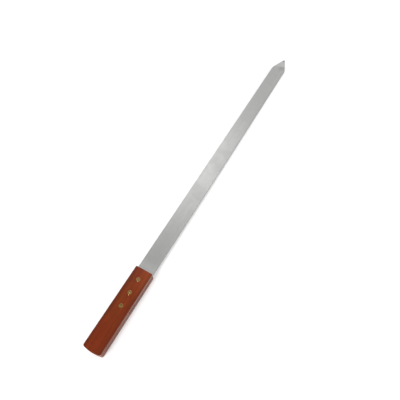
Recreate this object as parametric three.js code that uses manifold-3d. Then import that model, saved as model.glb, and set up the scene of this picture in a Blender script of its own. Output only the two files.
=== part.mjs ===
// A flat kebab skewer. A pointed steel blade runs back as a half tang into a sawn slot in a
// hardwood handle, and three brass rivets, each a hollow half and a solid half, hold the tang.
// Units are millimetres. +X points from the handle to the point, +Z is up, and the origin is
// under the middle of the skewer, level with the handle's underside.

import * as THREE from "three";
import { mergeVertices } from "three/addons/utils/BufferGeometryUtils.js";
import Module from "manifold-3d";

const wasm = await Module();
wasm.setup();

// Blade
const bladeLength = 489; // from the handle's front to the point
const bladeWidth = 25;
const bladeThickness = 2;
const bladeBevel = 0.25; // broken edge all round the bar
const pointLength = 28; // from the shoulders to the point
const noseRadius = 1.2;
const shoulderRadius = 22;
const tangCornerRadius = 2;
const tangTail = 5; // from the last rivet's centre to the tang's end
const heelLength = 3; // of the tang's stretch that shows in front of the handle

// Handle
const handleLength = 121;
const handleWidth = 26.5;
const handleThickness = 16;
const handleEdgeRadius = 3; // along the four long edges
const handleEndRadius = 1.3; // round the two ends
const frontCornerRadius = 1.8; // seen from above
const buttCornerRadius = 2.6; // seen from above
const buttArcRadius = 48; // the end bulges in plan

// Slot for the tang, sawn from the front with a round cutter
const slotCutterRadius = 40;
const slotClearance = 0.3; // above, below and behind the tang

// Rivets, from the front of the handle backward
const rivetNames = ["front", "middle", "rear"];
const rivetSetback = 15.5; // front of the handle to the first rivet
const rivetPitch = 20.2;
const rivetHeadRadius = 2.95;
const rivetHeadThickness = 1.5;
const rivetHeadBevel = 0.25;
const rivetHeadSink = 0.1; // how far a head lies below the wood
const tubeRadius = 2;
const tubeEndGap = 1.5; // from the tube's open end to the solid half's head
const pinRadius = 1.2;
const pinEndBevel = 0.3;
const pinEndSink = 0.15; // how far the pin's end lies below the upper head
const rivetClearance = 0.15; // between pin and tube, head and recess, tube and hole

// How far a cutting solid runs past what it cuts
const cutOverrun = 2;

// Places worked out from the sizes
const buttX = -(handleLength + bladeLength) / 2;
const frontX = buttX + handleLength;
const pointX = frontX + bladeLength;
const middleZ = handleThickness / 2;
const heelX = frontX + heelLength;
const lastRivetX = rivetX(rivetNames.length - 1);
const slotEndX = lastRivetX - tangTail - slotClearance;
const cutterX = slotEndX + slotCutterRadius;
const socketTopZ = handleThickness - rivetHeadSink;
const pinBottomZ = rivetHeadSink;
const recessDepth = rivetHeadSink + rivetHeadThickness + rivetClearance;
const boreRadius = pinRadius + rivetClearance;
const shankHoleRadius = tubeRadius + rivetClearance;
const recessRadius = rivetHeadRadius + rivetClearance;

// Facets
const filletSteps = 6;
const arcSteps = 12;
const edgeSteps = 4;
const roundSides = 32;

const materials = {
  steel: { color: 0xb4b4b2, roughness: 0.38, metalness: 1 },
  wood: { color: 0x7a3018, roughness: 0.28, metalness: 0 },
  brass: { color: 0xd8b463, roughness: 0.22, metalness: 1 },
};

// Turns a closed geometry into a solid that can be cut.
function solidFrom(geometry) {
  const bare = geometry.clone();
  bare.deleteAttribute("normal");
  bare.deleteAttribute("uv");
  const merged = mergeVertices(bare);
  const mesh = new wasm.Mesh({
    numProp: 3,
    vertProperties: Float32Array.from(merged.attributes.position.array),
    triVerts: Uint32Array.from(merged.index.array),
  });
  return new wasm.Manifold(mesh);
}

function geometryFrom(solid) {
  const mesh = solid.getMesh();
  const geometry = new THREE.BufferGeometry();
  geometry.setAttribute("position", new THREE.BufferAttribute(mesh.vertProperties, 3));
  geometry.setIndex(new THREE.BufferAttribute(mesh.triVerts, 1));
  return geometry;
}

// A closed outline whose corners are [x, y, radius]; a corner without a radius stays sharp.
function roundedShape(corners) {
  const points = [];
  corners.forEach(([x, y, radius = 0], index) => {
    const corner = new THREE.Vector2(x, y);
    if (radius === 0) {
      points.push(corner);
      return;
    }
    const before = corners[(index + corners.length - 1) % corners.length];
    const after = corners[(index + 1) % corners.length];
    const toBefore = new THREE.Vector2(before[0], before[1]).sub(corner).normalize();
    const toAfter = new THREE.Vector2(after[0], after[1]).sub(corner).normalize();
    const halfAngle = Math.acos(toBefore.dot(toAfter)) / 2;
    const bisector = toBefore.clone().add(toAfter).normalize();
    const centre = corner.clone().addScaledVector(bisector, radius / Math.sin(halfAngle));
    const start = corner.clone().addScaledVector(toBefore, radius / Math.tan(halfAngle)).sub(centre);
    const sweep = Math.PI - 2 * halfAngle;
    const turn = Math.sign(toAfter.cross(toBefore));
    for (let step = 0; step <= filletSteps; step++) {
      const spoke = start.clone().rotateAround(new THREE.Vector2(), turn * sweep * (step / filletSteps));
      points.push(spoke.add(centre));
    }
  });
  return new THREE.Shape(points);
}

// Points along an arc about a centre, from one angle to another.
function arcPoints(centreX, centreY, radius, from, to, steps) {
  const points = [];
  for (let step = 0; step <= steps; step++) {
    const angle = from + (to - from) * (step / steps);
    points.push([centreX + radius * Math.cos(angle), centreY + radius * Math.sin(angle)]);
  }
  return points;
}

// A bulging end that faces -X, from +Y down to -Y: a wide arc about a centre on the X axis,
// with a corner arc at each side that touches both the wide arc and the long side.
function bulgingEnd(centreX, radius, halfWidth, cornerRadius) {
  const cornerY = halfWidth - cornerRadius;
  const reach = Math.asin(cornerY / (radius - cornerRadius));
  const cornerX = centreX - (radius - cornerRadius) * Math.cos(reach);
  const first = Math.PI - reach;
  const last = Math.PI + reach;
  const side = Math.PI / 2;
  return [
    ...arcPoints(cornerX, cornerY, cornerRadius, side, first, filletSteps).slice(0, -1),
    ...arcPoints(centreX, 0, radius, first, last, arcSteps),
    ...arcPoints(cornerX, -cornerY, cornerRadius, last, side + Math.PI, filletSteps).slice(1),
  ];
}

// Extrudes an outline upward from a height, with its top and bottom edges rounded or broken.
function plate(shape, bottomZ, height, edge, segments) {
  const geometry = new THREE.ExtrudeGeometry(shape, {
    depth: height - 2 * edge,
    bevelEnabled: edge > 0,
    bevelThickness: edge,
    bevelSize: edge,
    bevelOffset: -edge,
    bevelSegments: segments,
  });
  return geometry.translate(0, 0, bottomZ + edge);
}

// A cylinder standing on the Z axis between two heights.
function post(radius, bottomZ, topZ) {
  const height = topZ - bottomZ;
  const geometry = new THREE.CylinderGeometry(radius, radius, height, roundSides);
  return geometry.rotateX(Math.PI / 2).translate(0, 0, bottomZ + height / 2);
}

// A turned piece from a closed profile of [radius, height] pairs.
function turned(profile) {
  const points = profile.map(([radius, height]) => new THREE.Vector2(radius, height));
  return new THREE.LatheGeometry(points, roundSides).rotateX(Math.PI / 2);
}

function rivetX(index) {
  return frontX - rivetSetback - index * rivetPitch;
}

function piece(name, geometry, materialName) {
  const material = new THREE.MeshStandardMaterial(materials[materialName]);
  const mesh = new THREE.Mesh(geometry, material);
  mesh.name = name;
  return mesh;
}

// The bar with its point, its tang and the three holes in the tang.
function makeBlade() {
  const halfWidth = bladeWidth / 2;
  const shoulderX = pointX - pointLength;
  const tangArcRadius = slotCutterRadius - slotClearance;
  const outline = roundedShape([
    ...bulgingEnd(cutterX, tangArcRadius, halfWidth, tangCornerRadius),
    [shoulderX, -halfWidth, shoulderRadius],
    [pointX + noseRunout(), 0, noseRadius],
    [shoulderX, halfWidth, shoulderRadius],
  ]);
  const bottomZ = middleZ - bladeThickness / 2;
  const topZ = bottomZ + bladeThickness;
  const bar = solidFrom(plate(outline, bottomZ, bladeThickness, bladeBevel, 1));
  let solid = splitAtHeel(bar, bottomZ - cutOverrun, topZ + cutOverrun);
  const hole = solidFrom(post(shankHoleRadius, bottomZ - cutOverrun, topZ + cutOverrun));
  for (const index of rivetNames.keys()) {
    solid = solid.subtract(hole.translate([rivetX(index), 0, 0]));
  }
  return piece("blade", geometryFrom(solid), "steel");
}

// Gives the flats of the blade faces of their own, apart from those of the tang: the bar is
// parted just in front of the handle and joined again there.
function splitAtHeel(bar, bottomZ, topZ) {
  const halfWidth = bladeWidth / 2 + cutOverrun;
  const around = roundedShape([
    [heelX, -halfWidth],
    [pointX + cutOverrun, -halfWidth],
    [pointX + cutOverrun, halfWidth],
    [heelX, halfWidth],
  ]);
  const ahead = solidFrom(plate(around, bottomZ, topZ - bottomZ, 0, 1));
  return bar.intersect(ahead).asOriginal().add(bar.subtract(ahead).asOriginal());
}

// How far the sharp corner of the point would lie ahead of its rounded nose.
function noseRunout() {
  const run = pointLength - noseRadius;
  const rise = bladeWidth / 2;
  const halfAngle = Math.atan2(rise, run) - Math.asin(noseRadius / Math.hypot(run, rise));
  return noseRadius / Math.sin(halfAngle) - noseRadius;
}

// The blank: long edges rounded by its cross-section, ends shaped and eased in plan.
function makeHandleBlank() {
  const halfWidth = handleWidth / 2;
  const section = roundedShape([
    [-halfWidth, 0, handleEdgeRadius],
    [halfWidth, 0, handleEdgeRadius],
    [halfWidth, handleThickness, handleEdgeRadius],
    [-halfWidth, handleThickness, handleEdgeRadius],
  ]);
  const stockLength = handleLength + 2 * cutOverrun;
  const stock = new THREE.ExtrudeGeometry(section, { depth: stockLength, bevelEnabled: false });
  const alongX = new THREE.Matrix4().makeBasis(
    new THREE.Vector3(0, 1, 0),
    new THREE.Vector3(0, 0, 1),
    new THREE.Vector3(1, 0, 0),
  );
  stock.applyMatrix4(alongX).translate(buttX - cutOverrun, 0, 0);

  const plan = roundedShape([
    ...bulgingEnd(buttX + buttArcRadius, buttArcRadius, halfWidth, buttCornerRadius),
    [frontX, -halfWidth, frontCornerRadius],
    [frontX, halfWidth, frontCornerRadius],
  ]);
  const ends = plate(plan, 0, handleThickness, handleEndRadius, edgeSteps);
  return solidFrom(stock).intersect(solidFrom(ends));
}

// The sawn slot, open at the front and at both sides.
function makeSlot() {
  const halfWidth = handleWidth / 2 + cutOverrun;
  const reach = Math.asin(halfWidth / slotCutterRadius);
  const outline = roundedShape([
    ...arcPoints(cutterX, 0, slotCutterRadius, Math.PI - reach, Math.PI + reach, arcSteps),
    [frontX + cutOverrun, -halfWidth],
    [frontX + cutOverrun, halfWidth],
  ]);
  const height = bladeThickness + 2 * slotClearance;
  return solidFrom(plate(outline, middleZ - height / 2, height, 0, 1));
}

// One stepped rivet hole: a shank hole right through, and a recess for each head.
function makeRivetHole() {
  const shank = solidFrom(post(shankHoleRadius, -cutOverrun, handleThickness + cutOverrun));
  const lower = solidFrom(post(recessRadius, -cutOverrun, recessDepth));
  const upper = solidFrom(
    post(recessRadius, handleThickness - recessDepth, handleThickness + cutOverrun),
  );
  return shank.add(lower).add(upper);
}

function makeHandle() {
  const hole = makeRivetHole();
  let solid = makeHandleBlank().subtract(makeSlot());
  for (const index of rivetNames.keys()) {
    solid = solid.subtract(hole.translate([rivetX(index), 0, 0]));
  }
  return piece("handle", geometryFrom(solid), "wood");
}

// Hollow half: the upper head, bored right through, with its tube reaching down past the tang.
function makeRivetSocket(name, index) {
  const headBottomZ = socketTopZ - rivetHeadThickness;
  const tubeBottomZ = pinBottomZ + rivetHeadThickness + tubeEndGap;
  const geometry = turned([
    [boreRadius, tubeBottomZ],
    [tubeRadius, tubeBottomZ],
    [tubeRadius, headBottomZ],
    [rivetHeadRadius, headBottomZ],
    [rivetHeadRadius, socketTopZ - rivetHeadBevel],
    [rivetHeadRadius - rivetHeadBevel, socketTopZ],
    [boreRadius, socketTopZ],
    [boreRadius, tubeBottomZ],
  ]);
  const mesh = piece(`${name}_rivet_socket`, geometry, "brass");
  mesh.position.x = rivetX(index);
  return mesh;
}

// Solid half: the lower head with its pin, whose end shows in the upper head.
function makeRivetPin(name, index) {
  const headTopZ = pinBottomZ + rivetHeadThickness;
  const endZ = socketTopZ - pinEndSink;
  const geometry = turned([
    [0, pinBottomZ],
    [rivetHeadRadius - rivetHeadBevel, pinBottomZ],
    [rivetHeadRadius, pinBottomZ + rivetHeadBevel],
    [rivetHeadRadius, headTopZ],
    [pinRadius, headTopZ],
    [pinRadius, endZ - pinEndBevel],
    [pinRadius - pinEndBevel, endZ],
    [0, endZ],
  ]);
  const mesh = piece(`${name}_rivet_pin`, geometry, "brass");
  mesh.position.x = rivetX(index);
  return mesh;
}

const skewer = new THREE.Group();
skewer.add(makeBlade());
skewer.add(makeHandle());
rivetNames.forEach((name, index) => {
  skewer.add(makeRivetSocket(name, index));
  skewer.add(makeRivetPin(name, index));
});

export default skewer;
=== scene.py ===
# Kebab skewer: a flat steel blade with a ground point, riveted into a varnished hardwood handle.
# Everything is in metres. +X runs from the handle to the point, and +Z is square to the blade's flat.
import math

import bmesh
import bpy
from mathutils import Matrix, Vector


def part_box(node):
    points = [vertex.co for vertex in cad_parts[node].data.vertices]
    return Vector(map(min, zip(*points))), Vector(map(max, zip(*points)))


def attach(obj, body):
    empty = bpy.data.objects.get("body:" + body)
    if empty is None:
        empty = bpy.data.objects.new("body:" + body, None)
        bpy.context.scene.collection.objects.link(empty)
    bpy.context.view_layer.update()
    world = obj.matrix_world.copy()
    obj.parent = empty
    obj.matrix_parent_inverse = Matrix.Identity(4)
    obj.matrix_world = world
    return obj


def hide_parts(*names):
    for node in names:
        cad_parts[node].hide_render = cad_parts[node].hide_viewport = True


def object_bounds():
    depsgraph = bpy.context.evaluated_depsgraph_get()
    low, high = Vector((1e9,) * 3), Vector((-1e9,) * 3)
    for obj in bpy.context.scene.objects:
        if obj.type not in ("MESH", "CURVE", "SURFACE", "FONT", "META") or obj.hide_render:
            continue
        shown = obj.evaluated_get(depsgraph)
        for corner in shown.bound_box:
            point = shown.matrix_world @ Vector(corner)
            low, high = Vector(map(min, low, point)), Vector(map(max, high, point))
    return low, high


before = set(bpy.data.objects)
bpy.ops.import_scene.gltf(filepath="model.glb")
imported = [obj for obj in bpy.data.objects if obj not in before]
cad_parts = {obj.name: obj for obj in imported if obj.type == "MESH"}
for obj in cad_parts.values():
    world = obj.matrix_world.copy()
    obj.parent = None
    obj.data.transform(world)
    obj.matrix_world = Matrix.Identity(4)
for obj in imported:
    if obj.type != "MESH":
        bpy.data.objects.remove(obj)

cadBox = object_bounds()
mm = 0.001
closeEnough = 0.02 * mm  # places that differ by less count as the same
facing = 0.9  # a face with more than this of an axis in its normal looks along it
upright = 0.99  # and an edge with more than this share of its length along Z stands upright
print("frame loaded, with nodes", ", ".join(sorted(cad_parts)))


# Selecting and shaping

def deselectAll():
    bpy.ops.object.select_all(action="DESELECT")


def makeActive(piece):
    deselectAll()
    piece.select_set(True)
    bpy.context.view_layer.objects.active = piece


def settle(piece):  # its place goes into its mesh, and its object to the origin
    makeActive(piece)
    bpy.ops.object.transform_apply(location=True, rotation=True, scale=True)


def addBlock(name, low, high):
    deselectAll()
    size = [b - a for a, b in zip(low, high)]
    middle = [(a + b) / 2 for a, b in zip(low, high)]
    bpy.ops.mesh.primitive_cube_add(size=1, location=middle, scale=size)
    block = bpy.context.object
    block.name = name
    settle(block)
    return block


def addRound(name, radius, bottom, top, x, sides=48):
    deselectAll()
    middle = (x, 0, (bottom + top) / 2)
    bpy.ops.mesh.primitive_cylinder_add(vertices=sides, radius=radius, depth=top - bottom, location=middle)
    piece = bpy.context.object
    piece.name = name
    settle(piece)
    return piece


def pick(kind, test):  # in edit mode, selects the parts of one kind for which the test holds
    bpy.ops.mesh.select_mode(type=kind)
    bpy.ops.mesh.select_all(action="DESELECT")
    mesh = bmesh.from_edit_mesh(bpy.context.object.data)
    parts = {"VERT": mesh.verts, "EDGE": mesh.edges, "FACE": mesh.faces}[kind]
    for part in parts:
        if test(part):
            part.select_set(True)
    mesh.select_flush_mode()
    bmesh.update_edit_mesh(bpy.context.object.data)


def middleOf(part):  # of an edge or a face
    corners = part.verts
    return sum((corner.co for corner in corners), Vector()) / len(corners)


def isUpright(edge):
    along = edge.verts[1].co - edge.verts[0].co
    return abs(along.z) > upright * along.length


def near(value, target, reach=closeEnough):
    return abs(value - target) < reach


# The flat end at one X becomes a wide arc that bulges to -X. Its ends stay at that X.
def bulgeEnd(piece, endX, halfWidth, radius, cuts):
    makeActive(piece)
    bpy.ops.object.mode_set(mode="EDIT")
    pick("EDGE", lambda e: near(middleOf(e).x, endX) and not isUpright(e))
    bpy.ops.mesh.subdivide(number_cuts=cuts)
    spacing = 2 * halfWidth / (cuts + 1)
    sideReach = math.sqrt(radius ** 2 - halfWidth ** 2)
    for column in range(1, cuts + 1):
        y = -halfWidth + column * spacing
        push = math.sqrt(radius ** 2 - y ** 2) - sideReach
        pick("VERT", lambda v: near(v.co.y, y) and near(v.co.x, endX))
        bpy.ops.transform.translate(value=(-push, 0, 0))
    bpy.ops.object.mode_set(mode="OBJECT")


def sagittaOf(radius, halfWidth):  # how far such an arc bulges
    return radius - math.sqrt(radius ** 2 - halfWidth ** 2)


def turnAtSides(radius, halfWidth):  # degrees from the end of such an arc into the sides
    return 90 - math.degrees(math.asin(halfWidth / radius))


def roundCorners(piece, x, y, radius, turn, segments):  # of two upright edges; turn in degrees
    makeActive(piece)
    bpy.ops.object.mode_set(mode="EDIT")
    pick("EDGE", lambda e: isUpright(e) and near(middleOf(e).x, x) and near(abs(middleOf(e).y), y))
    runout = radius * math.tan(math.radians(turn) / 2)
    bpy.ops.mesh.bevel(offset=runout, segments=segments, profile=0.5, affect="EDGES")
    bpy.ops.object.mode_set(mode="OBJECT")


def applyModifier(piece, kind, **settings):
    makeActive(piece)
    modifier = piece.modifiers.new(kind.title(), kind)
    for name, value in settings.items():
        setattr(modifier, name, value)
    bpy.ops.object.modifier_apply(modifier=modifier.name)


def bevelSharp(piece, width, segments, angle):  # every edge that turns by more than the angle, in degrees
    applyModifier(piece, "BEVEL", width=width, segments=segments, limit_method="ANGLE",
                  angle_limit=math.radians(angle))


def cutAway(piece, cutter):
    applyModifier(piece, "BOOLEAN", object=cutter, operation="DIFFERENCE", solver="EXACT")
    makeActive(cutter)
    bpy.ops.object.delete()


def smoothPiece(piece, angle=35):
    makeActive(piece)
    bpy.ops.object.shade_smooth_by_angle(angle=math.radians(angle), keep_sharp_edges=True)
    applyModifier(piece, "WEIGHTED_NORMAL", keep_sharp=True, weight=80)


def finishPiece(piece, material, slotName, *nodes):
    piece.data.materials.clear()
    piece.data.materials.append(material)
    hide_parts(*nodes)
    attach(piece, "root")


# Making shaders

def addNode(tree, kind, inputs=None, **settings):
    made = tree.nodes.new(kind)
    for name, value in settings.items():
        setattr(made, name, value)
    for socket, value in (inputs or {}).items():
        if isinstance(value, bpy.types.NodeSocket):
            tree.links.new(value, made.inputs[socket])
        else:
            made.inputs[socket].default_value = value
    return made


def maths(tree, operation, first, second=0.0):
    return addNode(tree, "ShaderNodeMath", {0: first, 1: second}, operation=operation).outputs[0]


def plus(tree, first, second):
    return maths(tree, "ADD", first, second)


def minus(tree, first, second):
    return maths(tree, "SUBTRACT", first, second)


def times(tree, first, second):
    return maths(tree, "MULTIPLY", first, second)


def larger(tree, first, second):
    return maths(tree, "MAXIMUM", first, second)


# From low to high, the value goes evenly from one number to another. Beyond, it stays there if clamped.
def spread(tree, value, low, high, toLow=0.0, toHigh=1.0, clamp=True):
    inputs = {"Value": value, "From Min": low, "From Max": high, "To Min": toLow, "To Max": toHigh}
    return addNode(tree, "ShaderNodeMapRange", inputs, clamp=clamp).outputs[0]


def smoothStep(tree, value, low, high):  # from 0 to 1, also where low is the larger
    inputs = {"Value": value, "From Min": low, "From Max": high}
    return addNode(tree, "ShaderNodeMapRange", inputs, interpolation_type="SMOOTHSTEP").outputs[0]


def onVectors(tree, operation, first, second=(0, 0, 0)):
    return addNode(tree, "ShaderNodeVectorMath", {0: first, 1: second}, operation=operation).outputs


def stretch(tree, position, scales):
    return onVectors(tree, "MULTIPLY", position, scales)[0]


def reachFrom(tree, position, spot, scales=(1, 1, 1)):  # the distance from a spot, with each axis scaled
    offset = onVectors(tree, "SUBTRACT", position, spot)[0]
    return onVectors(tree, "LENGTH", stretch(tree, offset, scales))["Value"]


def noise(tree, position, scale=1.0, detail=2.0, roughness=0.5, distortion=0.0):
    inputs = {"Vector": position, "Scale": scale, "Detail": detail, "Roughness": roughness,
              "Distortion": distortion}
    return addNode(tree, "ShaderNodeTexNoise", inputs).outputs[0]


def mixColours(tree, share, first, second, mode="MIX"):
    inputs = {0: share, 6: first, 7: second}
    return addNode(tree, "ShaderNodeMix", inputs, data_type="RGBA", blend_type=mode).outputs[2]


def bump(tree, height, distance, strength):
    inputs = {"Strength": strength, "Distance": distance, "Height": height}
    return addNode(tree, "ShaderNodeBump", inputs).outputs[0]


def split(tree, value):  # into X, Y and Z
    return addNode(tree, "ShaderNodeSeparateXYZ", {0: value}).outputs


def startGroup(name, inputs, outputs):
    group = bpy.data.node_groups.new(name, "ShaderNodeTree")
    for label, kind in inputs:
        group.interface.new_socket(label, in_out="INPUT", socket_type=kind)
    for label, kind in outputs:
        group.interface.new_socket(label, in_out="OUTPUT", socket_type=kind)
    entry = group.nodes.new("NodeGroupInput")
    leave = group.nodes.new("NodeGroupOutput")
    return group, entry.outputs, leave.inputs


def useGroup(tree, group, **inputs):
    return addNode(tree, "ShaderNodeGroup", inputs, node_tree=group).outputs


def startMaterial(name):
    material = bpy.data.materials.new(name)
    material.use_nodes = True
    tree = material.node_tree
    tree.nodes.clear()
    shader = tree.nodes.new("ShaderNodeBsdfPrincipled")
    output = tree.nodes.new("ShaderNodeOutputMaterial")
    tree.links.new(shader.outputs[0], output.inputs[0])
    place = tree.nodes.new("ShaderNodeTexCoord")
    return material, tree, shader, place.outputs["Object"], place.outputs["Normal"]


vectorSocket, numberSocket = "NodeSocketVector", "NodeSocketFloat"

# what the shader groups work on: each goes from none to all between two values
groupTones = {
    "edge": (0.3, 0.95),  # of a measure that is 1 where the surface leans by 45 degrees
    "side": (0.38, 0.88),  # of one that is 1 on an upright side
    "rubbed": (0.35, 0.6),  # of the noise that breaks the wear up
    "handled": (0.38, 0.66),  # of the clouds
}


# The rounded top and bottom edges, the same edges where they rub, in broken patches, and the sides.
def makeEdgeWear():
    group, given, out = startGroup(
        "edgeWear", [("Position", vectorSocket), ("Normal", vectorSocket), ("Patches", numberSocket)],
        [("Edge", numberSocket), ("Mask", numberSocket), ("Side", numberSocket)])
    upward = split(group, given["Normal"])["Z"]
    square = times(group, upward, upward)
    rest = minus(group, 1.0, square)
    slant = times(group, times(group, square, rest), 4.0)  # 1 where the surface leans by 45 degrees
    edge = smoothStep(group, slant, *groupTones["edge"])
    patches = noise(group, given["Position"], given["Patches"], detail=3.0, roughness=0.6)
    group.links.new(edge, out["Edge"])
    group.links.new(smoothStep(group, rest, *groupTones["side"]), out["Side"])
    group.links.new(times(group, edge, spread(group, patches, *groupTones["rubbed"])), out["Mask"])
    return group


# Fine lines left by a belt, running along X. Along and across are their length and width.
def makeBeltLines():
    group, given, out = startGroup(
        "beltLines", [("Position", vectorSocket), ("Along", numberSocket), ("Across", numberSocket)],
        [("Lines", numberSocket)])
    perLength = maths(group, "DIVIDE", 1.0, given["Along"])
    perWidth = maths(group, "DIVIDE", 1.0, given["Across"])
    scales = addNode(group, "ShaderNodeCombineXYZ", {0: perLength, 1: perWidth, 2: perWidth}).outputs[0]
    lines = noise(group, stretch(group, given["Position"], scales), detail=4.0, roughness=0.65)
    group.links.new(lines, out["Lines"])
    return group


# Cloudy marks left by hands, cloths and polish.
def makeHandMarks():
    group, given, out = startGroup(
        "handMarks", [("Position", vectorSocket), ("Scale", numberSocket)], [("Mask", numberSocket)])
    cloud = noise(group, given["Position"], given["Scale"], detail=4.0, roughness=0.6, distortion=0.8)
    group.links.new(smoothStep(group, cloud, *groupTones["handled"]), out["Mask"])
    return group


edgeWear = makeEdgeWear()
beltLines = makeBeltLines()
handMarks = makeHandMarks()
print("shader groups ready")


def linesOf(tree, position, along, across):
    return useGroup(tree, beltLines, Position=position, Along=along, Across=across)["Lines"]


def marksOf(tree, position, scale):
    return useGroup(tree, handMarks, Position=position, Scale=scale)["Mask"]


# Camera

cameraView = {
    "eye": (-0.3037, -0.1593, 0.5205),
    "aim": (-0.0466, -0.0100, 0.0080),
    "lean": -0.98,  # degrees; below zero the camera leans clockwise
    "lens": 34.73,
    "sensor": 36.0,
    "clip": (0.01, 60),
}


def placeCamera():
    data = bpy.data.cameras.new("camera")
    data.lens = cameraView["lens"]
    data.sensor_width = cameraView["sensor"]
    data.clip_start, data.clip_end = cameraView["clip"]
    camera = bpy.data.objects.new("camera", data)
    bpy.context.scene.collection.objects.link(camera)
    eye, aim = Vector(cameraView["eye"]), Vector(cameraView["aim"])
    camera.location = eye
    camera.rotation_euler = (aim - eye).to_track_quat("-Z", "Y").to_euler()
    camera.rotation_euler.rotate_axis("Z", math.radians(cameraView["lean"]))
    bpy.context.scene.camera = camera


placeCamera()
print("camera placed")


# Blade

blade = {
    "pointLength": 28 * mm,
    "noseRadius": 1.2 * mm,
    "noseShare": 0.98,  # of that radius, so that the nose's two round corners don't meet
    "shoulderRadius": 22 * mm,
    "edgeBevel": 0.25 * mm,
    "tangArcRadius": 39.7 * mm,
    "tangCornerRadius": 2 * mm,
    "holeRadius": 2.15 * mm,
    "cutPast": 1 * mm,  # how far the holes' cutters run past the steel
    "groundLength": 21 * mm,  # of the flat grind across the point, above and below
    "groundDepth": 0.60 * mm,  # at the tip
    "groundTurn": 19,  # degrees; ground by hand, so not quite square to the bar
    "groundEdge": 0.4 * mm,  # over this length its brighter steel begins
    "fineCut": 0.001 * mm,  # points nearer than this to the grind's plane count as on it
    "ridgeLevel": 0.97,  # the least of Z in the normals on both sides of the ridges the grind leaves
    "ridgeTurn": 1,  # and the least turn between them, in degrees
    "darkTipLength": 8 * mm,  # of the tip, which is coloured darker
    "pointShade": (281 * mm, -4.5 * mm, 9 * mm),  # the middle of a painted shade on the point's near side
    "pointShadeReach": 9 * mm,
    "pointShadeScales": (0.8, 1, 1),  # the patch is a little longer than wide
    "heelSheenFrom": (22 * mm, -4 * mm),  # ahead of the handle, where the painted lighter reflection on the steel next to the handle fades in
    # belt lines and bands in the steel, by length and width
    "fineLines": (60 * mm, 0.12 * mm),
    "broadLines": (150 * mm, 1.6 * mm),
    "bands": (500 * mm, 9 * mm),
    "lineDepth": 0.012 * mm,
    "bumpStrength": 0.6,
    "markScale": 64.0,
    "wearScale": 120.0,
    "lightSteel": (0.71, 0.71, 0.695, 1),
    "darkSteel": (0.58, 0.58, 0.57, 1),
    "wornSteel": (0.72, 0.72, 0.70, 1),
    # a painted lighter reflection for the steel next to the handle
    "heelSheenSteel": (0.76, 0.76, 0.745, 1),
    "edgeAndShadeSteel": (0.18, 0.176, 0.172, 1),  # on the sheared sides, partly their own dark steel and partly painted shade; on the darker tip; and as the painted shade on the point's near side
    # how strongly each of these shows
    "fineShare": 0.6,  # the broad lines have the rest
    "markShare": 0.65,
    "bandShare": 0.5,
    "wearShare": 0.5,
    "groundShare": 0.6,
    "darkTipShare": 0.75,
    "pointShadeShare": 0.24,
    # the values of a noise between which it goes from none to all
    "lineTones": (0.36, 0.64),
    "bandTones": (0.40, 0.62),
    "roughTones": (0.3, 0.7),
    "roughness": (0.26, 0.38),  # the roughness at these last two
    "markRoughness": 0.05,  # and what the hand marks add to it
}
rivetNames = ["front", "middle", "rear"]


def rivetPlace(name):
    low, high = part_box(f"{name}_rivet_socket")
    return (low.x + high.x) / 2


def isLowRidge(edge):  # between two faces that are nearly level, but not with each other
    faces = edge.link_faces
    isLevel = len(faces) == 2 and all(abs(face.normal.z) > blade["ridgeLevel"] for face in faces)
    return isLevel and edge.calc_face_angle(0) > math.radians(blade["ridgeTurn"])


def grindPoint(bar, tipX, bottom, top):
    makeActive(bar)
    bpy.ops.object.mode_set(mode="EDIT")
    tilt = math.atan2(blade["groundDepth"], blade["groundLength"])
    turn = math.radians(blade["groundTurn"])
    forward, sideways = math.sin(tilt) * math.cos(turn), math.sin(tilt) * math.sin(turn)
    for level, up in ((top, 1), (bottom, -1)):
        start = Vector((tipX - blade["groundLength"], 0, level))
        normal = Vector((forward, sideways, up * math.cos(tilt)))
        bpy.ops.mesh.select_all(action="SELECT")
        bpy.ops.mesh.bisect(plane_co=start, plane_no=normal, use_fill=True, clear_outer=True,
                            threshold=blade["fineCut"])
    pick("EDGE", isLowRidge)  # they stay crisp
    bpy.ops.mesh.mark_sharp()
    bpy.ops.object.mode_set(mode="OBJECT")


def groundMask(tree, position, tipX):  # where the turned grind lies
    turn = math.radians(blade["groundTurn"])
    beyond = onVectors(tree, "DOT_PRODUCT", position, (math.cos(turn), math.sin(turn), 0))["Value"]
    start = (tipX - blade["groundLength"]) * math.cos(turn)
    return smoothStep(tree, beyond, start, start + blade["groundEdge"])


# The sheared sides, partly their own dark steel and partly painted shade, the darker tip, and a painted
# shade on the point's near side behind the grind.
def darkMask(tree, position, alongBar, tipX, sides, ground):
    darkTip = times(tree, smoothStep(tree, alongBar, tipX - blade["darkTipLength"], tipX), blade["darkTipShare"])
    fromPointShade = reachFrom(tree, position, blade["pointShade"], blade["pointShadeScales"])
    pointShaded = times(tree, smoothStep(tree, fromPointShade, blade["pointShadeReach"], 0.0), blade["pointShadeShare"])
    pointShaded = times(tree, pointShaded, minus(tree, 1.0, ground))  # the grind itself gets none of the painted shade
    return larger(tree, larger(tree, sides, darkTip), pointShaded)


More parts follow.
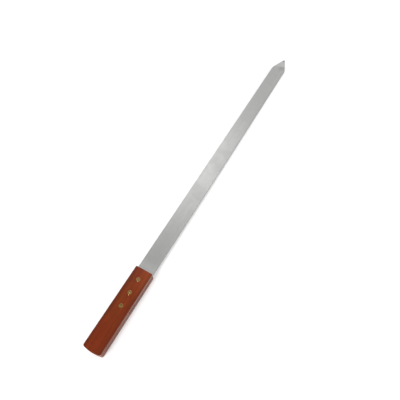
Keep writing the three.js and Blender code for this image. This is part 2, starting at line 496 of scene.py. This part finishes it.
def makeSteel():
    material, tree, shader, position, normal = startMaterial("brushedSteel")
    alongBar = split(tree, position)["X"]
    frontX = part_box("handle")[1].x
    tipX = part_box("blade")[1].x
    fine = times(tree, linesOf(tree, position, *blade["fineLines"]), blade["fineShare"])
    broad = times(tree, linesOf(tree, position, *blade["broadLines"]), 1 - blade["fineShare"])
    lines = plus(tree, fine, broad)
    marks = marksOf(tree, position, blade["markScale"])
    edges = useGroup(tree, edgeWear, Position=position, Normal=normal, Patches=blade["wearScale"])

    bright = spread(tree, lines, *blade["lineTones"])
    colour = mixColours(tree, bright, blade["darkSteel"], blade["lightSteel"])
    colour = mixColours(tree, times(tree, marks, blade["markShare"]), colour, blade["darkSteel"])
    bands = linesOf(tree, position, *blade["bands"])
    banded = spread(tree, bands, *blade["bandTones"], 0.0, blade["bandShare"])
    colour = mixColours(tree, banded, colour, blade["darkSteel"])
    colour = mixColours(tree, times(tree, edges["Mask"], blade["wearShare"]), colour, blade["wornSteel"])
    # painted lighter reflection on the steel next to the handle
    heelSheenFrom, heelSheenTo = (frontX + ahead for ahead in blade["heelSheenFrom"])
    colour = mixColours(tree, smoothStep(tree, alongBar, heelSheenFrom, heelSheenTo), colour, blade["heelSheenSteel"])
    ground = groundMask(tree, position, tipX)
    colour = mixColours(tree, times(tree, ground, blade["groundShare"]), colour, blade["wornSteel"])
    # dark sheared sides and tip, with painted shade on the sides and on the point's near side
    dark = darkMask(tree, position, alongBar, tipX, edges["Side"], ground)
    colour = mixColours(tree, dark, colour, blade["edgeAndShadeSteel"])

    rough = spread(tree, lines, *blade["roughTones"], *blade["roughness"])
    rough = plus(tree, rough, times(tree, marks, blade["markRoughness"]))
    tree.links.new(colour, shader.inputs["Base Color"])
    tree.links.new(rough, shader.inputs["Roughness"])
    tree.links.new(bump(tree, lines, blade["lineDepth"], blade["bumpStrength"]), shader.inputs["Normal"])
    shader.inputs["Metallic"].default_value = 1.0
    return material


def makeBlade(steel):
    low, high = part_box("blade")
    halfWidth = high.y
    shoulderX = high.x - blade["pointLength"]
    tangX = low.x + sagittaOf(blade["tangArcRadius"], halfWidth)
    bar = addBlock("bladeBar", (tangX, low.y, low.z), (shoulderX, high.y, high.z))

    bpy.ops.object.mode_set(mode="EDIT")  # the point: the front face drawn out and narrowed
    taper = math.atan2(halfWidth, blade["pointLength"])
    noseTurn = 90 - math.degrees(taper)
    noseHalf = blade["noseRadius"] * math.tan(math.radians(noseTurn) / 2)
    pick("FACE", lambda f: f.normal.x > facing)
    bpy.ops.mesh.extrude_region_move(TRANSFORM_OT_translate={"value": (blade["pointLength"], 0, 0)})
    bpy.ops.transform.resize(value=(1, noseHalf / halfWidth, 1), center_override=(high.x, 0, 0))
    bpy.ops.object.mode_set(mode="OBJECT")
    roundCorners(bar, shoulderX, halfWidth, blade["shoulderRadius"], 90 - noseTurn, segments=6)
    roundCorners(bar, high.x, noseHalf, blade["noseRadius"] * blade["noseShare"], noseTurn, segments=5)
    bulgeEnd(bar, tangX, halfWidth, blade["tangArcRadius"], cuts=9)
    tangTurn = turnAtSides(blade["tangArcRadius"], halfWidth)
    roundCorners(bar, tangX, halfWidth, blade["tangCornerRadius"], tangTurn, segments=5)
    past = blade["cutPast"]
    for name in rivetNames:
        cutAway(bar, addRound("cutter", blade["holeRadius"], low.z - past, high.z + past, rivetPlace(name)))
    bevelSharp(bar, blade["edgeBevel"], segments=3, angle=50)
    grindPoint(bar, high.x, low.z, high.z)
    smoothPiece(bar)
    finishPiece(bar, steel, "steel", "blade")


makeBlade(makeSteel())
print("blade made")


# Handle

handle = {
    "edgeRadius": 3 * mm,  # along the four long edges
    "frontRadius": 1.3 * mm,  # round the front end
    "buttRadius": 2.2 * mm,  # round the butt
    "frontReach": 1.7 * mm,  # how far from the front end its radius holds
    "buttReach": 4.5 * mm,  # and from the butt
    "frontCornerRadius": 1.8 * mm,
    "buttCornerRadius": 2.6 * mm,
    "buttArcRadius": 48 * mm,
    "slotArcRadius": 40 * mm,
    "slotClearance": 0.3 * mm,
    "rivetClearance": 0.15 * mm,
    "cutEdge": 0.12 * mm,  # how far the sawn and drilled edges are broken
    "cutPast": 2 * mm,  # how far cutters run past the wood
    "shankInset": 1 * mm,  # where a rivet's narrow hole starts, inside the head's recess
    "heart": (0, 26 * mm, -38 * mm),  # a point on the tree's middle line, beside the handle
    "heartScales": (0.05, 1, 1),  # the rings round it are drawn out along X
    "ringWidth": 2.4 * mm,
    "wander": 7 * mm,  # how far the rings stray, from one side to the other
    "paleSpot": (-190 * mm, -7 * mm, 16 * mm),  # the wood is lightest round here
    "paleScales": (0.5, 1.6, 1),
    "paleReach": 24 * mm,
    "rimShadeWidth": 5.6 * mm,  # along the long edges, above and below, where a painted shade darkens the wood
    "heldFrom": (-225 * mm, -270 * mm),  # between these X the sides' painted lighter tone and the varnish's wear by the hand grow to their full strength
    # how fast each pattern changes along X, Y and Z
    "wanderScales": (14, 60, 60),
    "fibreScales": (40, 1500, 1500),
    "poreScales": (140, 4200, 4200),
    "patchScales": (26, 70, 70),
    "glowScales": (23.4, 78, 117),
    "markScale": 55.0,
    "wearScale": 90.0,
    "grainDepth": 0.03 * mm,
    "bumpStrength": 0.5,
    "brownWood": (0.172, 0.027, 0.003, 1),
    "redWood": (0.194, 0.025, 0.003, 1),
    "orangeWood": (0.320, 0.055, 0.007, 1),
    "poreWood": (0.040, 0.008, 0.004, 1),
    "sawnWood": (0.360, 0.150, 0.062, 1),
    # the sides' painted lighter tone, for the light that falls on them
    "litSideWood": (0.240, 0.050, 0.010, 1),
    "endWood": (0.420, 0.170, 0.070, 1),
    # how strongly each of these shows
    "glowShare": 0.25,
    "paleShare": 0.6,
    "litSideShares": (0.25, 0.5),  # of the painted lighter tone on the sides, ahead of the held part and in it
    "poreShare": 0.75,
    # how dark the painted shade along the long edges is
    "rimShadeShare": 0.24,
    "wearShare": 0.15,
    "ringShades": (0.89, 1.06),
    "fibreShades": (0.92, 1.08),
    "endBands": (-1.1, 0.4),  # what the rings add to their own contrast on the end grain
    "endDots": (-0.5, 0.3),  # and what the fibres add to it there
    "latePores": 0.35,  # the share of the pores that is left in the late wood of each ring
    "fibreRelief": 0.3,  # the fibres' height, where the pores' depth is 1
    # the values of a noise between which it goes from none to all
    "ringTones": (0.3, 0.7),
    "lateTones": (0.2, 0.9),
    "poreTones": (0.60, 0.70),
    "patchTones": (0.36, 0.62),
    "glowTones": (0.52, 0.75),
    "fibreTones": (0.3, 0.7),
    "endTones": (0.15, 0.7),  # of how far the surface faces along X
    "bandTones": (0.2, 0.8),
    "dotTones": (0.35, 0.65),
    # where the sawn slot's bare wood shows
    "slotLip": 0.05 * mm,  # past the slot's walls, into the wood
    "slotInset": 0.08 * mm,  # from the handle's sides
    "slotBehind": 1 * mm,  # behind the tang
    # the surface and its varnish
    "roughness": (0.38, 0.52),  # of the wood, outside the hand marks and in them
    "coatRoughness": 0.14,
    "coatIor": 1.5,
    "edgeRub": 0.4,  # how much of the varnish is worn off the edges
    "sideRubs": (0.18, 0.52),  # and off the sides, ahead of the held part and in it
}


def growthRings(tree, position, wander):  # light and dark, by the distance from the tree's middle
    reach = reachFrom(tree, position, handle["heart"], handle["heartScales"])
    count = maths(tree, "DIVIDE", plus(tree, reach, wander), handle["ringWidth"])
    inputs = {"W": count, "Scale": 1.0, "Detail": 3.0}
    rings = addNode(tree, "ShaderNodeTexNoise", inputs, noise_dimensions="1D").outputs[0]
    return spread(tree, rings, *handle["ringTones"])


def woodColour(tree, position, wander):
    patches = noise(tree, stretch(tree, position, handle["patchScales"]), distortion=0.5)
    red = smoothStep(tree, patches, *handle["patchTones"])
    colour = mixColours(tree, red, handle["brownWood"], handle["redWood"])
    glow = noise(tree, stretch(tree, position, handle["glowScales"]), detail=1.0)
    glow = spread(tree, glow, *handle["glowTones"], 0.0, handle["glowShare"])
    colour = mixColours(tree, glow, colour, handle["orangeWood"])
    fromSpot = reachFrom(tree, position, handle["paleSpot"], handle["paleScales"])
    pale = smoothStep(tree, plus(tree, fromSpot, wander), handle["paleReach"], 0.0)
    return mixColours(tree, times(tree, pale, handle["paleShare"]), colour, handle["orangeWood"])


def grainShade(tree, rings, fibres, endGrain):  # a grey to multiply by, with more contrast on the end grain
    bands = spread(tree, rings, *handle["bandTones"], *handle["endBands"])
    dots = spread(tree, fibres, *handle["dotTones"], *handle["endDots"])
    rings = plus(tree, rings, times(tree, endGrain, plus(tree, bands, dots)))
    ringShade = spread(tree, rings, 0, 1, *handle["ringShades"], clamp=False)
    fibreShade = spread(tree, fibres, *handle["fibreTones"], *handle["fibreShades"])
    shade = times(tree, ringShade, fibreShade)
    return addNode(tree, "ShaderNodeCombineXYZ", {0: shade, 1: shade, 2: shade}).outputs[0]


def slotMask(tree, parts, sideways):  # the slot's walls, which are bare sawn wood
    bladeLow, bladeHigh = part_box("blade")
    middle = (bladeLow.z + bladeHigh.z) / 2
    slotHalf = (bladeHigh.z - bladeLow.z) / 2 + handle["slotClearance"]
    height = maths(tree, "ABSOLUTE", minus(tree, parts["Z"], middle))
    inSlot = maths(tree, "LESS_THAN", height, slotHalf + handle["slotLip"])
    inside = maths(tree, "LESS_THAN", sideways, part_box("handle")[1].y - handle["slotInset"])
    ahead = maths(tree, "GREATER_THAN", parts["X"], bladeLow.x - handle["slotBehind"])
    return times(tree, times(tree, inSlot, inside), ahead)


def makeWood():
    material, tree, shader, position, normal = startMaterial("varnishedHardwood")
    parts = split(tree, position)
    sideways = maths(tree, "ABSOLUTE", parts["Y"])
    held = spread(tree, parts["X"], *handle["heldFrom"])
    edges = useGroup(tree, edgeWear, Position=position, Normal=normal, Patches=handle["wearScale"])
    wander = noise(tree, stretch(tree, position, handle["wanderScales"]), detail=3.0)
    wander = times(tree, minus(tree, wander, 0.5), handle["wander"])
    rings = growthRings(tree, position, wander)
    fibres = noise(tree, stretch(tree, position, handle["fibreScales"]), detail=3.0, roughness=0.6)
    pores = noise(tree, stretch(tree, position, handle["poreScales"]), detail=1.0)
    left = spread(tree, rings, *handle["lateTones"], 1.0, handle["latePores"])
    pores = times(tree, smoothStep(tree, pores, *handle["poreTones"]), left)

    # a painted lighter tone down the sides, for the light that falls on them, and a lighter colour on the
    # end grain
    colour = woodColour(tree, position, wander)
    litSides = times(tree, edges["Side"], spread(tree, held, 0, 1, *handle["litSideShares"]))
    colour = mixColours(tree, litSides, colour, handle["litSideWood"])
    endways = maths(tree, "ABSOLUTE", split(tree, normal)["X"])
    endGrain = smoothStep(tree, endways, *handle["endTones"])
    colour = mixColours(tree, endGrain, colour, handle["endWood"])
    colour = mixColours(tree, 1.0, colour, grainShade(tree, rings, fibres, endGrain), "MULTIPLY")
    colour = mixColours(tree, times(tree, pores, handle["poreShare"]), colour, handle["poreWood"])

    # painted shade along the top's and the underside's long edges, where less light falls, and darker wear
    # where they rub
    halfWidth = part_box("handle")[1].y
    rimShade = smoothStep(tree, sideways, halfWidth - handle["rimShadeWidth"], halfWidth - handle["edgeRadius"])
    rimShade = times(tree, rimShade, minus(tree, 1.0, edges["Side"]))
    worn = times(tree, edges["Mask"], handle["wearShare"])
    rimShadeAndWear = plus(tree, times(tree, rimShade, handle["rimShadeShare"]), worn)
    colour = mixColours(tree, rimShadeAndWear, colour, handle["poreWood"])
    bare = slotMask(tree, parts, sideways)
    colour = mixColours(tree, bare, colour, handle["sawnWood"])

    # the varnish is thinner over the edges, and down the sides toward the butt
    marks = marksOf(tree, position, handle["markScale"])
    rubbed = times(tree, edges["Side"], spread(tree, held, 0, 1, *handle["sideRubs"]))
    rubbed = plus(tree, times(tree, edges["Edge"], handle["edgeRub"]), rubbed)
    varnish = times(tree, minus(tree, 1.0, rubbed), minus(tree, 1.0, bare))
    relief = minus(tree, times(tree, fibres, handle["fibreRelief"]), pores)
    tree.links.new(colour, shader.inputs["Base Color"])
    tree.links.new(spread(tree, marks, 0, 1, *handle["roughness"]), shader.inputs["Roughness"])
    tree.links.new(varnish, shader.inputs["Coat Weight"])
    tree.links.new(bump(tree, relief, handle["grainDepth"], handle["bumpStrength"]), shader.inputs["Normal"])
    shader.inputs["Coat Roughness"].default_value = handle["coatRoughness"]
    shader.inputs["Coat IOR"].default_value = handle["coatIor"]
    shader.inputs["Specular IOR Level"].default_value = 0.0
    return material


def easeEdges(block, low, high):  # wide along the sides, narrow round the ends
    makeActive(block)
    mesh = block.data
    weights = mesh.attributes.new("bevel_weight_edge", "FLOAT", "EDGE")
    sideFrom, sideTo = low.x + handle["buttReach"], high.x - handle["frontReach"]
    for edge in mesh.edges:
        first, second = (mesh.vertices[i].co for i in edge.vertices)
        middle = (first + second) / 2
        isLevel = near(first.z, second.z) and (near(middle.z, low.z) or near(middle.z, high.z))
        if not isLevel:
            continue
        if middle.x < sideFrom:
            radius = handle["buttRadius"]
        elif middle.x > sideTo:
            radius = handle["frontRadius"]
        else:
            radius = handle["edgeRadius"]
        weights.data[edge.index].value = radius / handle["edgeRadius"]
    applyModifier(block, "BEVEL", width=handle["edgeRadius"], segments=8, limit_method="WEIGHT", profile=0.5)


def sawSlot(block, high):
    bladeLow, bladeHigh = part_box("blade")
    gap, arc, past = handle["slotClearance"], handle["slotArcRadius"], handle["cutPast"]
    slotSide = high.y + past
    slotX = bladeLow.x - gap + sagittaOf(arc, slotSide)
    corners = (slotX, -slotSide, bladeLow.z - gap), (high.x + past, slotSide, bladeHigh.z + gap)
    slot = addBlock("cutter", *corners)
    bulgeEnd(slot, slotX, slotSide, arc, cuts=15)
    cutAway(block, slot)


def drillForRivet(block, low, high, name):  # a recess for each head, and a narrow hole for the shank
    x = rivetPlace(name)
    headLow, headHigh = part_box(f"{name}_rivet_socket")
    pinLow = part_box(f"{name}_rivet_pin")[0]
    gap, past, inset = handle["rivetClearance"], handle["cutPast"], handle["shankInset"]
    headRadius = (headHigh.x - headLow.x) / 2 + gap
    recess = rivet["headThickness"] + gap
    cutAway(block, addRound("cutter", headRadius, headHigh.z - recess, high.z + past, x))
    cutAway(block, addRound("cutter", headRadius, low.z - past, pinLow.z + recess, x))
    cutAway(block, addRound("cutter", rivet["tubeRadius"] + gap, low.z + inset, high.z - inset, x))


def makeHandle(wood):
    low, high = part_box("handle")
    halfWidth = high.y
    buttX = low.x + sagittaOf(handle["buttArcRadius"], halfWidth)
    block = addBlock("handleWood", (buttX, low.y, low.z), (high.x, high.y, high.z))
    bulgeEnd(block, buttX, halfWidth, handle["buttArcRadius"], cuts=9)
    buttTurn = turnAtSides(handle["buttArcRadius"], halfWidth)
    roundCorners(block, buttX, halfWidth, handle["buttCornerRadius"], buttTurn, segments=8)
    roundCorners(block, high.x, halfWidth, handle["frontCornerRadius"], turn=90, segments=6)
    easeEdges(block, low, high)
    sawSlot(block, high)
    for name in rivetNames:
        drillForRivet(block, low, high, name)
    bevelSharp(block, handle["cutEdge"], segments=2, angle=55)
    smoothPiece(block, angle=40)
    finishPiece(block, wood, "wood", "handle")


# Rivets, each a hollow half pressed over a solid half

rivet = {
    "headThickness": 1.5 * mm,
    "headBevel": 0.14 * mm,
    "tubeRadius": 2 * mm,
    "boreRadius": 1.35 * mm,
    "boreBevel": 0.12 * mm,
    "pinRadius": 1.2 * mm,
    "pinBevel": 0.3 * mm,
    "circleReach": 0.06 * mm,  # edges whose middles lie this near to a circle belong to it
    "ringCorners": 8,  # a face with more is a whole disc, here one of the bore's two
    "lines": (9 * mm, 0.09 * mm),  # left by sanding, by length and width
    "lineDepth": 0.004 * mm,
    "bumpStrength": 0.7,
    "markScale": 300.0,
    "wearScale": 600.0,
    "brightBrass": (0.80, 0.50, 0.19, 1),
    "dullBrass": (0.46, 0.28, 0.10, 1),
    # how strongly each of these shows
    "tarnishShares": (0.35, 0.8),  # outside the hand marks and in them
    "wearShare": 0.3,
    "lineShare": 0.4,
    # the values of a noise between which it goes from none to all
    "lineTones": (0.45, 0.7),
    "roughTones": (0.3, 0.7),
    "roughness": (0.12, 0.24),  # the roughness at these last two
}


def makeBrass():
    material, tree, shader, position, normal = startMaterial("sandedBrass")
    lines = linesOf(tree, position, *rivet["lines"])
    marks = marksOf(tree, position, rivet["markScale"])
    worn = useGroup(tree, edgeWear, Position=position, Normal=normal, Patches=rivet["wearScale"])["Mask"]
    tarnish = spread(tree, marks, 0, 1, *rivet["tarnishShares"])
    tarnish = minus(tree, tarnish, times(tree, worn, rivet["wearShare"]))
    colour = mixColours(tree, tarnish, rivet["brightBrass"], rivet["dullBrass"])
    dull = spread(tree, lines, *rivet["lineTones"], 0.0, rivet["lineShare"])
    colour = mixColours(tree, dull, colour, rivet["dullBrass"])
    tree.links.new(colour, shader.inputs["Base Color"])
    rough = spread(tree, lines, *rivet["roughTones"], *rivet["roughness"])
    tree.links.new(rough, shader.inputs["Roughness"])
    tree.links.new(bump(tree, lines, rivet["lineDepth"], rivet["bumpStrength"]), shader.inputs["Normal"])
    shader.inputs["Metallic"].default_value = 1.0
    return material


def fromAxis(part, x):  # the distance from the axis of the rivet at this X
    place = middleOf(part)
    return math.hypot(place.x - x, place.y)


def pickCircle(x, radius, z):
    reach = rivet["circleReach"]
    pick("EDGE", lambda e: near(middleOf(e).z, z) and near(fromAxis(e, x), radius, reach))


def turnOutward():  # all faces, and back to object mode
    bpy.ops.mesh.select_all(action="SELECT")
    bpy.ops.mesh.normals_make_consistent(inside=False)
    bpy.ops.object.mode_set(mode="OBJECT")


def makeSocket(x, low, high):
    radius = (high.x - low.x) / 2
    headBottom = high.z - rivet["headThickness"]
    bore = rivet["boreRadius"]
    piece = addRound("rivetSocket", radius, headBottom, high.z, x)
    bpy.ops.object.mode_set(mode="EDIT")
    pick("FACE", lambda f: f.normal.z < -facing)
    bpy.ops.mesh.inset(thickness=radius - rivet["tubeRadius"], depth=0)
    bpy.ops.mesh.extrude_region_move(TRANSFORM_OT_translate={"value": (0, 0, low.z - headBottom)})
    bpy.ops.mesh.inset(thickness=rivet["tubeRadius"] - bore, depth=0)
    pick("FACE", lambda f: f.normal.z > facing and near(middleOf(f).z, high.z))
    bpy.ops.mesh.inset(thickness=radius - bore, depth=0)
    pick("FACE", lambda f: abs(f.normal.z) > facing and len(f.verts) > rivet["ringCorners"])
    bpy.ops.mesh.bridge_edge_loops()
    pickCircle(x, radius, high.z)
    bpy.ops.mesh.bevel(offset=rivet["headBevel"], segments=3, affect="EDGES")
    pickCircle(x, bore, high.z)
    bpy.ops.mesh.bevel(offset=rivet["boreBevel"], segments=2, affect="EDGES")
    turnOutward()
    smoothPiece(piece)
    return piece


def makePin(x, low, high):
    radius = (high.x - low.x) / 2
    headTop = low.z + rivet["headThickness"]
    piece = addRound("rivetPin", radius, low.z, headTop, x)
    bpy.ops.object.mode_set(mode="EDIT")
    pick("FACE", lambda f: f.normal.z > facing)
    bpy.ops.mesh.inset(thickness=radius - rivet["pinRadius"], depth=0)
    bpy.ops.mesh.extrude_region_move(TRANSFORM_OT_translate={"value": (0, 0, high.z - headTop)})
    pickCircle(x, rivet["pinRadius"], high.z)
    bpy.ops.mesh.bevel(offset=rivet["pinBevel"], segments=3, affect="EDGES")
    pickCircle(x, radius, low.z)
    bpy.ops.mesh.bevel(offset=rivet["headBevel"], segments=3, affect="EDGES")
    turnOutward()
    smoothPiece(piece)
    return piece


def copyAt(piece, name, shift):
    makeActive(piece)
    bpy.ops.object.duplicate()
    copied = bpy.context.object
    copied.name = name
    copied.location.x = shift
    settle(copied)
    return copied


def makeRivets(brass):
    firstX = rivetPlace(rivetNames[0])
    for half, make in (("Socket", makeSocket), ("Pin", makePin)):
        first = make(firstX, *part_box(f"{rivetNames[0]}_rivet_{half.lower()}"))
        first.name = f"{rivetNames[0]}Rivet{half}"
        copies = [copyAt(first, f"{name}Rivet{half}", rivetPlace(name) - firstX) for name in rivetNames[1:]]
        for name, piece in zip(rivetNames, [first, *copies]):
            finishPiece(piece, brass, "brass", f"{name}_rivet_{half.lower()}")


makeHandle(makeWood())
print("handle made")
makeRivets(makeBrass())
print("rivets made")


# Floor, world and lamps

stage = {
    "floorSize": 40.0,
    "floorGap": 0.02 * mm,  # under the skewer, so that the two don't share a surface
    "floorColour": (0.80, 0.80, 0.80, 1),
    "floorLift": (0.31, 0.60),  # added where the floor is seen, near by and far off, so that it shows white
    "liftReach": (0.6, 2.4),  # the distances from the floor's middle for these two
    "horizon": 1.0,  # brightness of the sky low down, up to the first height
    "zenith": 0.52,  # and from the second height up
    "skyHeights": (0.40, 0.67),
    # dim round patches of the sky, so that steel and varnish don't glare; each is at its level up to
    # the inner angle from its middle, and fades out at the outer one, in degrees
    "dimPatches": [{"toward": (0.0, 0.30, 0.95), "level": 0.22, "inner": 8, "outer": 14},
                   {"toward": (-0.96, 0.0, 0.26), "level": 0.30, "inner": 16, "outer": 42}],
    "keyLamp": {"place": (-2.20, 0.34, 2.58), "size": 0.9, "power": 58.0},
    "bladeLamp": {"place": (0.650, 0.500, 1.018), "size": 0.45, "power": 0.78},
}


# The skewer rests on the handle's lower front edge and on the point. Gives that edge's place and the
# slope from it to the point, by turns, because each depends on the other.
def restLine(rounds=4):
    wood = [v.co for v in bpy.data.objects["handleWood"].data.vertices]
    steel = [v.co for v in bpy.data.objects["bladeBar"].data.vertices if v.co.x > 0]
    heel, slope = Vector((cadBox[0].x, 0, 0)), 0.0
    for _ in range(rounds):
        heel = min(wood, key=lambda p: p.z - slope * p.x)
        slope = min((p.z - heel.z) / (p.x - heel.x) for p in steel)
    return heel, slope


def makePaleFloor():
    material = bpy.data.materials.new("paleFloor")
    material.use_nodes = True
    tree = material.node_tree
    tree.nodes.clear()
    matt = addNode(tree, "ShaderNodeBsdfDiffuse", {"Color": stage["floorColour"]})
    path = tree.nodes.new("ShaderNodeLightPath").outputs
    seen = larger(tree, path["Is Camera Ray"], path["Is Glossy Ray"])
    seen = larger(tree, seen, path["Is Transmission Ray"])
    place = tree.nodes.new("ShaderNodeTexCoord").outputs["Object"]
    raised = spread(tree, reachFrom(tree, place, (0, 0, 0)), *stage["liftReach"], *stage["floorLift"])
    lift = addNode(tree, "ShaderNodeEmission", {"Strength": times(tree, seen, raised)})
    both = addNode(tree, "ShaderNodeAddShader", {0: matt.outputs[0], 1: lift.outputs[0]})
    back = tree.nodes.new("ShaderNodeNewGeometry").outputs["Backfacing"]
    fromBelow = times(tree, back, path["Is Camera Ray"])  # the camera sees through it from below
    clear = tree.nodes.new("ShaderNodeBsdfTransparent")
    mixed = addNode(tree, "ShaderNodeMixShader", {0: fromBelow, 1: both.outputs[0], 2: clear.outputs[0]})
    addNode(tree, "ShaderNodeOutputMaterial", {0: mixed.outputs[0]})
    return material


def makeFloor():
    heel, slope = restLine()
    deselectAll()
    place = (heel.x, 0, heel.z - stage["floorGap"])
    tilt = (0, -math.atan(slope), 0)
    bpy.ops.mesh.primitive_plane_add(size=stage["floorSize"], location=place, rotation=tilt)
    floor = bpy.context.object
    floor.name = "floor"
    floor.data.materials.append(makePaleFloor())


def makeWorld():
    world = bpy.data.worlds.new("studio")
    bpy.context.scene.world = world
    world.use_nodes = True
    tree = world.node_tree
    tree.nodes.clear()
    direction = tree.nodes.new("ShaderNodeTexCoord").outputs["Generated"]
    height = split(tree, direction)["Z"]
    level = spread(tree, height, *stage["skyHeights"], stage["horizon"], stage["zenith"])
    for patch in stage["dimPatches"]:
        toward = tuple(Vector(patch["toward"]).normalized())
        angle = maths(tree, "ARCCOSINE", onVectors(tree, "DOT_PRODUCT", direction, toward)["Value"])
        outside = smoothStep(tree, angle, math.radians(patch["inner"]), math.radians(patch["outer"]))
        level = plus(tree, times(tree, minus(tree, level, patch["level"]), outside), patch["level"])
    path = tree.nodes.new("ShaderNodeLightPath").outputs
    seen = larger(tree, path["Is Camera Ray"], path["Is Transmission Ray"])
    level = larger(tree, level, seen)  # a white backdrop; reflections show it low in the sky
    sky = addNode(tree, "ShaderNodeBackground", {"Color": (1, 1, 1, 1), "Strength": level})
    addNode(tree, "ShaderNodeOutputWorld", {0: sky.outputs[0]})


def addLamp(name):  # it faces the skewer's middle
    data = bpy.data.lights.new(name, "AREA")
    data.size = stage[name]["size"]
    data.energy = stage[name]["power"]
    lamp = bpy.data.objects.new(name, data)
    bpy.context.scene.collection.objects.link(lamp)
    lamp.location = stage[name]["place"]
    lamp.rotation_euler = (-lamp.location).to_track_quat("-Z", "Y").to_euler()


makeFloor()
makeWorld()
addLamp("keyLamp")
addLamp("bladeLamp")
bpy.context.scene.view_settings.view_transform = "Standard"
print("floor, world and lamps ready")
